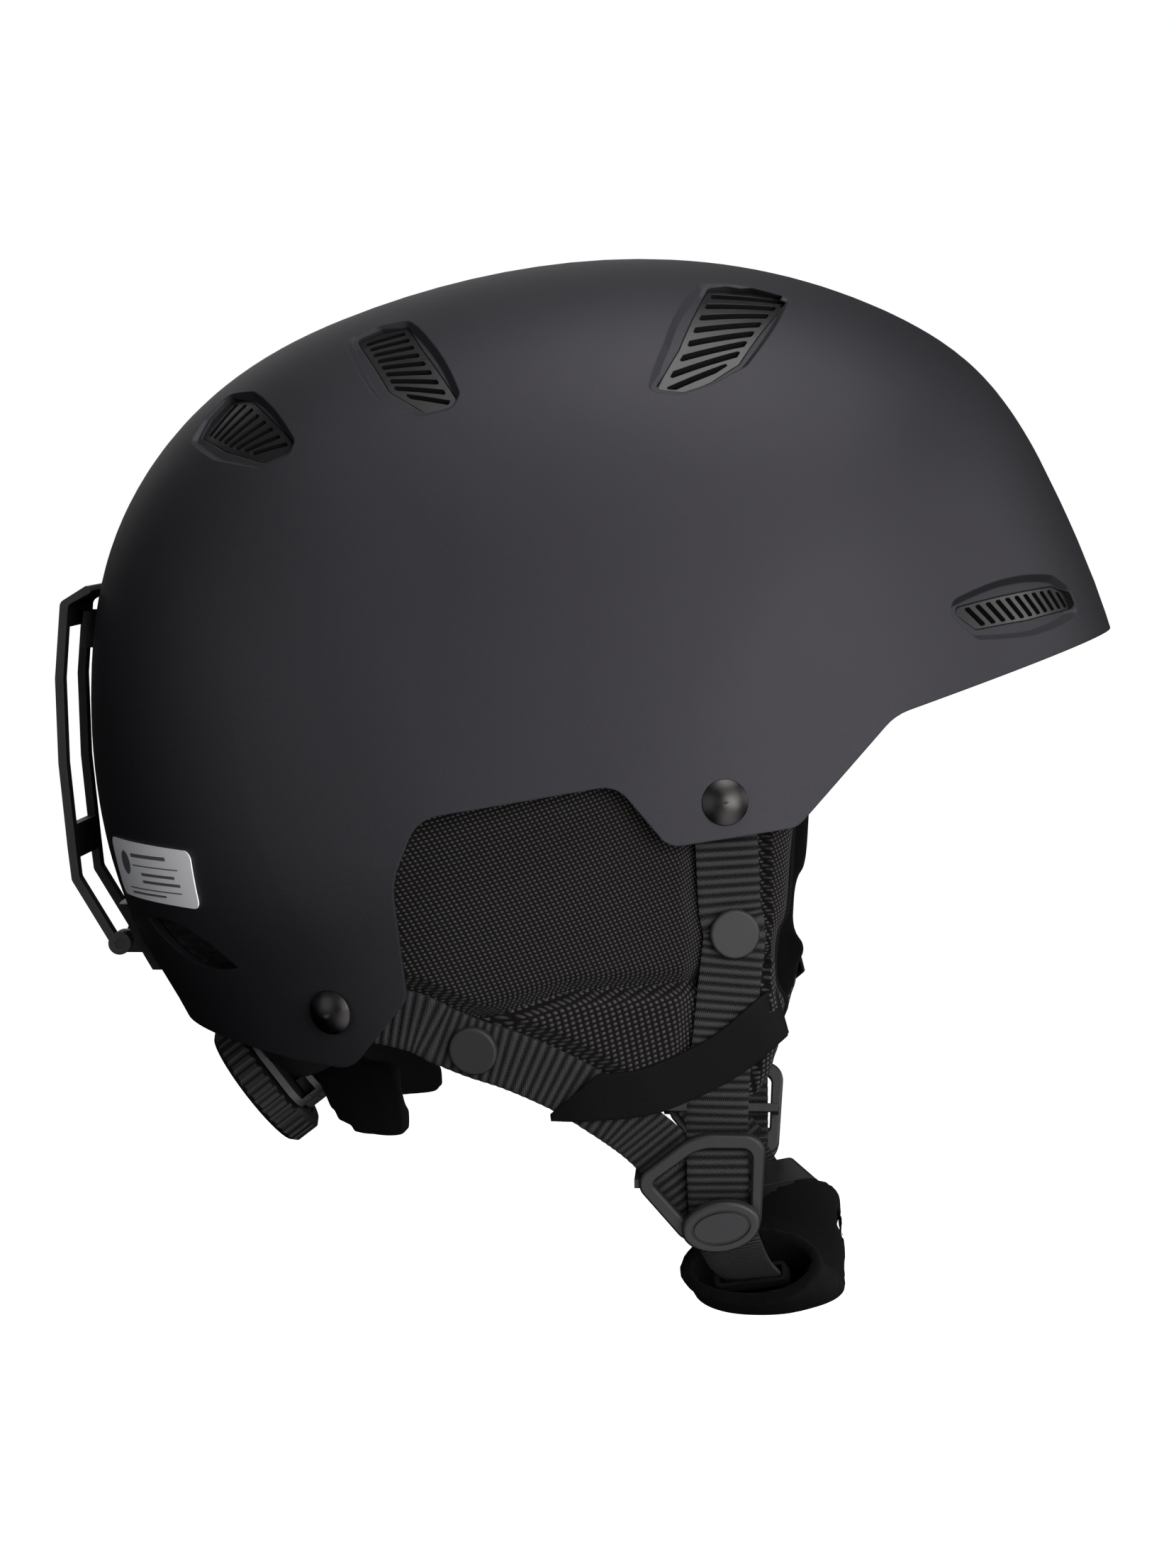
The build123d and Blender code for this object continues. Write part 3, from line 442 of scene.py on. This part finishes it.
def gridPiece(name, frames, columns, shape, uvWidth=1.0, length=1.0):
    # a grid primitive laid along the frames; shape(across share, station) gives (across, outward) in metres
    rows = len(frames) - 1
    bpy.ops.mesh.primitive_grid_add(x_subdivisions=columns, y_subdivisions=rows, size=1)
    piece = bpy.context.object
    piece.name = name
    mesh = piece.data
    shares = [(v.co.x, round((v.co.y + 0.5) * rows)) for v in mesh.vertices]
    for vertex, (u, row) in zip(mesh.vertices, shares):
        centre, across, out = frames[row]
        sideways, outward = shape(u, row)
        vertex.co = centre + across * sideways + out * outward
    layer = mesh.uv_layers.active
    layer.name = "webbing"
    for loop in mesh.loops:
        u, row = shares[loop.vertex_index]
        layer.data[loop.index].uv = (u * uvWidth, row / rows * length)
    mesh.update()
    return piece


def smoothShade(piece, angle=40):
    choose(piece)
    bpy.ops.object.shade_smooth_by_angle(angle=radians(angle))


def webbing(name, route, spec):
    # a woven strap with real ribs across it and scalloped edges
    pitch, height = spec["pitch"] * mm, spec["ribHeight"] * mm
    width, thick = spec["width"] * mm, spec["thick"] * mm
    step = pitch / 6 if height else 1.2 * mm
    frames, length = railFrames(route, step)
    spacing = length / (len(frames) - 1)
    taper, tip = spec.get("taper", 0) * length, spec.get("tip", 1)

    def shape(u, row):
        rib = abs(sin(pi * row * spacing / pitch)) ** 0.7 if height else 0
        edge = 1 - abs(2 * u) ** 8
        share = min(tip + (1 - tip) * row * spacing / taper, 1) if taper else 1
        sideways = (0.5 - (0.5 - u) * share) * width * (1 + 0.014 * rib)
        return sideways, thick / 2 - height + rib * height * (0.35 + 0.65 * edge)

    piece = gridPiece(name, frames, spec["columns"], shape, width, length)
    apply(piece, "SOLIDIFY", thickness=thick - height, offset=-1)
    apply(piece, "BEVEL", width=0.22 * mm, segments=2, limit_method="ANGLE", angle_limit=radians(60))
    smoothShade(piece, 50)
    return piece


def mirrored(piece, name):
    copy = piece.copy()
    copy.data = piece.data.copy()
    copy.name = name
    bpy.context.scene.collection.objects.link(copy)
    for vertex in copy.data.vertices:
        vertex.co.y = -vertex.co.y
    copy.data.flip_normals()
    return copy


def solidCopy(name, node):
    # a merged copy of a CAD solid, closed and ready to remesh
    piece = nodes[node].copy()
    piece.data = nodes[node].data.copy()
    piece.name = name
    for key in list(piece.keys()):
        del piece[key]
    piece.parent = None
    bpy.context.scene.collection.objects.link(piece)
    choose(piece)
    bpy.ops.object.mode_set(mode="EDIT")
    bpy.ops.mesh.select_all(action="SELECT")
    bpy.ops.mesh.remove_doubles(threshold=0.01 * mm)
    bpy.ops.object.mode_set(mode="OBJECT")
    return piece


def stuffed(name, node, voxel, cap, pressure=4.0, shrink=0.5, levels=1):
    # a padded piece: remeshed, inflated as cloth, held to a cap, then subdivided
    piece = solidCopy(name, node)
    apply(piece, "REMESH", mode="VOXEL", voxel_size=voxel * mm)
    apply(piece, "DISPLACE", strength=-shrink * mm, mid_level=0.0)
    apply(piece, "SMOOTH", factor=0.5, iterations=3)
    rest = [v.co.copy() for v in piece.data.vertices]
    choose(piece)
    cloth = piece.modifiers.new("cloth", "CLOTH")
    cloth.settings.use_pressure = True
    cloth.settings.uniform_pressure_force = pressure
    cloth.settings.effector_weights.gravity = 0
    cloth.point_cache.frame_start, cloth.point_cache.frame_end = 1, 20
    for step in range(1, 21):
        bpy.context.scene.frame_set(step)
    bpy.ops.object.modifier_apply(modifier=cloth.name)
    bpy.context.scene.frame_set(1)
    for vertex, start in zip(piece.data.vertices, rest):
        move = vertex.co - start
        if move.length > cap * mm:
            vertex.co = start + move.normalized() * cap * mm
    apply(piece, "SMOOTH", factor=0.5, iterations=2)
    apply(piece, "SUBSURF", levels=levels, render_levels=levels)
    smoothShade(piece, 180)
    return piece


def closeness(point, line):
    # distance from a flat (x, z) point to a flat polyline
    best = 1.0
    for a, b in zip(line, line[1:]):
        span = b - a
        share = min(max((point - a).dot(span) / span.length_squared, 0), 1)
        best = min(best, (point - a - span * share).length)
    return best


# The ear pad's face, which straps and pads share.
pad = {"y": -96.5, "bowX": 0.0022, "bowZ": 0.0027, "middle": 22.0, "lift": 1.1}


def padFace(x, z, lift=0.0):
    # a point on or above the right ear pad's outer face; millimetres in, metres out
    y = pad["y"] + pad["bowX"] * (x - pad["middle"]) ** 2 + pad["bowZ"] * min(z, 0) ** 2
    return Vector((x, y - lift, z)) * mm


def padOut(x, z):
    return Vector((2 * pad["bowX"] * (x - pad["middle"]), -1, 2 * pad["bowZ"] * min(z, 0)))


def spotOnPad(x, z, lift=pad["lift"]):
    return padFace(x, z, lift), padOut(x, z)


divider = {"origin": (48, -82.6, -81), "up": (0, -0.2425, 0.970), "out": (0, -0.970, -0.2425)}


def onDivider(x, y, z):
    origin, up, out = Vector(divider["origin"]), Vector(divider["up"]), Vector(divider["out"])
    return (origin + Vector((x, 0, 0)) + up * y + out * z) * mm, out


rivets = {"front": ((52.4, -103.1, 21.1), (0.09, -0.99, 0.1)),
          "rear": ((-51, -90, -35), (-0.38, -0.90, -0.2))}


def atRivet(which, x, y, z):
    centre, normal = Vector(rivets[which][0]), Vector(rivets[which][1]).normalized()
    across = Vector((1, 0, 0.3))
    across = (across - normal * across.dot(normal)).normalized()
    return (centre + across * x + normal.cross(across) * y + normal * z) * mm, normal


# Straps.
strapSpec = {"width": 16, "thick": 1.3, "pitch": 2.4, "ribHeight": 0.42, "columns": 12}
chinSpec = {"width": 16, "thick": 1.3, "pitch": 1.05, "ribHeight": 0.2, "columns": 10}
bandSpec = {"width": 13, "thick": 0.9, "pitch": 1, "ribHeight": 0, "columns": 12, "taper": 0.2, "tip": 0.15}
beltSpec = {"width": 9, "thick": 1.2, "pitch": 1, "ribHeight": 0, "columns": 8}
frontSpots = [(53.3, -5.6), (54.5, -13.3), (53.6, -23), (52.5, -33), (51.5, -42), (50.6, -49), (50.1, -56)]
rearSpots = [(-30, -37.5, 1.5), (-22, -41, 1.3), (-13.3, -44.4, 1.1), (-4, -47.3, 1.2), (5, -51, 1.2),
             (13, -55, 1.2), (20, -59.5, 1.6), (26.5, -64, 2.0)]
frontEnd = [(1.8, 18.2, -1.9), (1.8, 13, -2.8), (1.9, 5, -1.0), (2.0, -1, -1.4), (2.1, -7, -3.1),
            (2.2, -10.5, -3.1), (2.3, -13.5, -3.1)]
rearEnd = [(-14.5, 10, -3.6), (-7, 1, -4.3), (-1.5, -6, -4.7), (2.2, -10.5, -4.7)]
keeperSpots = [(6, -57.2, 2.2), (15, -57, 3.6), (30, -55.5, 3.7), (40, -52, 3.1), (50, -47, 2.8),
               (57, -42, 2.8), (61.5, -38, 2.6), (65, -35, 1.6), (66.6, -33.8, -0.8)]
frontRoute = [atRivet("front", 0, 7, -4.4), atRivet("front", 0, 0, -4.4)]
frontRoute += [spotOnPad(*s) for s in frontSpots] + [onDivider(*s) for s in frontEnd]
rearRoute = [atRivet("rear", -4.5, 1, -5.75), atRivet("rear", 0, 0, -5.3)]
rearRoute += [spotOnPad(*s) for s in rearSpots] + [onDivider(*s) for s in rearEnd]


def makeStraps():
    pairs = {
        "front_strap": (frontRoute, strapSpec, "webbing", "webbing", (50, -84, -60), (50, -81, -74)),
        "rear_strap": (rearRoute, strapSpec, "webbing", "webbing", (20, -87, -60), (40, -81, -76)),
        "keeper_band": ([spotOnPad(*s) for s in keeperSpots], bandSpec, "elastic", "elastic", None, None),
    }
    for name, (route, spec, finish, slotName, start, end) in pairs.items():
        right = webbing(f"{name}_right_web", route, spec)
        paint(right, finish, slotName)
        left = mirrored(right, f"{name}_left_web")
        for piece, (side, sign) in zip((right, left), sides.items()):
            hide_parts(f"{name}_{side}")
            if start:
                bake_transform(piece)
            else:
                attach(piece, "helmet")


makeStraps()
print("straps and keeper bands made")

# Chin strap, buckle tail and fit belts.
buckle = {"start": (54, 70, -95.5), "end": (69, 40, -104), "skin": (0, 0.3, -0.95)}


def onBuckle(along):
    start, end = Vector(buckle["start"]), Vector(buckle["end"])
    axis = (end - start).normalized()
    across = axis.cross(Vector(buckle["skin"])).normalized()
    return (start + axis * along) * mm, across.cross(axis) * 1.0


def makeChinStraps():
    out = Vector(divider["out"])
    flip = Vector((1, -1, 1))
    skirt = [((53, -70, -98.5), (0, -0.85, -0.5)), ((55, -60, -104.5), (0, -0.65, -0.75)),
             ((57, -46, -109), (0, -0.45, -0.9)), ((60.5, -25, -116), (0, -0.25, -0.97)),
             ((63.4, -4, -118.5), (0, 0, -1))]
    right = [onDivider(1.5, -8, -6.1), onDivider(3, -13, -6.1)] + [(Vector(p) * mm, o) for p, o in skirt]
    inner = [((64.5, 4, -118.3), (0, 0.02, -1)), ((67, 18, -114.8), (0, 0.3, -1)),
             ((68.6, 31, -108.5), (0, 0.4, -1))]
    left = [(Vector(p) * mm, o) for p, o in inner] + [onBuckle(33), onBuckle(28.4)]
    tail = [(p * flip, out * flip) for p, _ in (onDivider(1.5, -8, -6.2), onDivider(2.2, -13, -6.6))]
    tail += [onBuckle(1.5), onBuckle(5.6)]
    rows = [
        ("chin_strap_right", right, "right_divider", (55, -60, -104), (51, -76, -92)),
        ("chin_strap_left", left, "plug", (65.5, 8, -118), (66.5, 44, -104)),
        ("buckle_tail", tail, "left_divider", (56, 66, -97), (50, 75, -89)),
    ]
    for name, route, body, start, end in rows:
        piece = webbing(f"{name}_web", route, chinSpec)
        paint(piece, "fineWebbing", "webbing")
        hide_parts(name)
        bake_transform(piece)


def makeFitBelts():
    dialOut = Vector((-0.79, 0, -0.61))
    dialUp = dialOut.cross(Vector((0, -1, 0)))
    places = [(-63, 44, -52.5), (-46, 58.5, -41.5), (-18, 70, -18), (18, 73.5, 8), (44, 70, 29),
              (56, 65.5, 42)]
    looks = [(-0.7, -0.7, -0.2), (-0.45, -0.9, -0.1), (-0.2, -1, 0), (0, -1, 0.05), (0.12, -1, 0.1),
             (0.2, -1, 0.1)]
    origin = Vector((-75, 0, -60))
    for side, sign in sides.items():
        route = []
        for along, up, out in ((27.4, 7.4, -5.3), (33, 7.0, -5.6)):
            spot = origin + Vector((0, -sign * along, 0)) + dialUp.normalized() * sign * up
            route.append(((spot + dialOut.normalized() * out) * mm, dialOut))
        for (x, y, z), (a, b, c) in zip(places, looks):
            route.append((Vector((x, -sign * y, z)) * mm, (a, b * sign, c)))
        belt = webbing(f"fit_band_{side}_belt", route, beltSpec)
        paint(belt, "belt", "belt_plastic")
        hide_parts(f"fit_band_{side}")
        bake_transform(belt)


makeChinStraps()
makeFitBelts()
print("chin strap, buckle tail and fit belts made")

# Ear pads.
earPad = {
    "seam": [(-36, -45), (-10.7, -36.4), (11.8, -28.8), (42.8, -26.3), (60, -22), (70, -18)],
    "seamDepth": 2.6, "seamWidth": 2.3, "voxel": 3.2, "cap": 3.4,
    "faceDepth": 3.2,                   # how deep the shaping of the outer face goes
    "rise": 3.4, "underStrap": -0.1,    # how far the cover may swell, away from and under a strap
    "rampStart": 8.0, "ramp": 5.0,      # distance from a strap's middle where the swelling starts, its width
    "pressure": 5.0, "shrink": 0.3, "fill": 0.7,
}
earLining = {"voxel": 3.2, "cap": 2.6, "pressure": 4.0, "shrink": 0.4}


def makeEarPads():
    seam = [Vector(p) * mm for p in earPad["seam"]]
    strapLines = [[Vector((p.x, p.z)) for p, _ in route] for route in (frontRoute, rearRoute)]
    faceDepth = earPad["faceDepth"] * mm
    panel = stuffed("ear_pad_right_cover", "ear_pad_right", earPad["voxel"], earPad["cap"],
                    earPad["pressure"], earPad["shrink"], 2)
    for vertex in panel.data.vertices:
        point = Vector((vertex.co.x, vertex.co.z))
        face = padFace(point.x / mm, point.y / mm)
        depth = vertex.co.y - face.y
        if depth > faceDepth:
            continue
        away = min(closeness(point, line) for line in strapLines)
        room = min(max((away / mm - earPad["rampStart"]) / earPad["ramp"], 0), 1)
        limit = (room * room * (3 - 2 * room) * earPad["rise"] + earPad["underStrap"]) * mm
        vertex.co.y = max(vertex.co.y, face.y - limit)
        groove = exp(-(closeness(point, seam) / (earPad["seamWidth"] * mm)) ** 2)
        vertex.co.y += groove * earPad["seamDepth"] * mm * (1 - depth / faceDepth * 0.5)
    lower = panel.data.attributes.new("lowerPanel", "FLOAT", "POINT")
    for i, vertex in enumerate(panel.data.vertices):
        x, z = vertex.co.x, vertex.co.z
        for a, b in zip(seam, seam[1:]):
            if a.x <= x <= b.x or (a is seam[0] and x < a.x) or (b is seam[-1] and x > b.x):
                line = a.y + (b.y - a.y) * (x - a.x) / (b.x - a.x)
                lower.data[i].value = 1.0 if z < line else 0.0
    apply(panel, "SMOOTH", factor=0.5, iterations=2)
    paint(panel, "woven", "woven")
    lining = stuffed("ear_pad_lining_right_cover", "ear_pad_lining_right", **earLining)
    paint(lining, "fleece", "fleece")
    for part, base in ((panel, "ear_pad"), (lining, "ear_pad_lining")):
        twin = mirrored(part, f"{base}_left_cover")
        for piece, side in zip((part, twin), sides):
            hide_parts(f"{base}_{side}")
            "woven" if base == "ear_pad" else "fleece"
            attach(piece, "helmet")


makeEarPads()
print("ear pads sewn and stuffed")

# Comfort pads, nape pad and chin pad.
pads = {
    # node: voxel, cap, shrink, fill
    "brow_pad": (3.0, 2.0, 0.5, 0.6),
    "crown_pad": (3.0, 2.0, 0.5, 0.6),
    "rear_pad": (3.0, 2.0, 0.5, 0.6),
    "nape_pad": (2.4, 1.6, 0.4, 0.7),
}
templePad = {"voxel": 3.0, "cap": 2.0, "fill": 0.6}
chinPad = {
    "voxel": 1.2, "wall": 0.5, "smooth": 3, "fill": 0.5,
    "start": -20, "reach": 60,          # where along Y it starts to gather, and over what length
    "gather": 0.24, "shift": 2.0,       # share of its width that it loses, and its move backward
    "middle": 60.5, "drift": 0.13,      # X of its middle line at Y 0, and its slope along Y
    "wrinkle": 1.3, "pace": 48,
}


def makePads():
    for node, (voxel, cap, shrink, fill) in pads.items():
        piece = stuffed(f"{node}_cover", node, voxel, cap, 4.0, shrink)
        paint(piece, "fleece", "fleece")
        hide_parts(node)
        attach(piece, "helmet")
    temple = stuffed("temple_pad_right_cover", "temple_pad_right", templePad["voxel"], templePad["cap"])
    paint(temple, "fleece", "fleece")
    for piece, side in zip((temple, mirrored(temple, "temple_pad_left_cover")), sides):
        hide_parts(f"temple_pad_{side}")
        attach(piece, "helmet")


def makeChinPad():
    piece = solidCopy("chin_pad_sleeve", "chin_pad")
    apply(piece, "REMESH", mode="VOXEL", voxel_size=chinPad["voxel"] * mm)
    apply(piece, "DISPLACE", strength=chinPad["wall"] * mm, mid_level=0.0)
    apply(piece, "SMOOTH", factor=0.5, iterations=chinPad["smooth"])
    for vertex in piece.data.vertices:
        far = min(max((vertex.co.y / mm - chinPad["start"]) / chinPad["reach"], 0), 1)
        middle = chinPad["middle"] * mm + vertex.co.y * chinPad["drift"]
        narrowed = middle + (vertex.co.x - middle) * (1 - chinPad["gather"] * far)
        vertex.co.x = narrowed - chinPad["shift"] * mm * far
        vertex.co += noise.noise_vector(vertex.co * chinPad["pace"]) * chinPad["wrinkle"] * mm
    apply(piece, "SUBSURF", levels=1, render_levels=1)
    smoothShade(piece, 180)
    paint(piece, "fleece", "fleece")
    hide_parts("chin_pad")
    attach(piece, "helmet")


makePads()
makeChinPad()
print("comfort pads, nape pad and chin pad made")
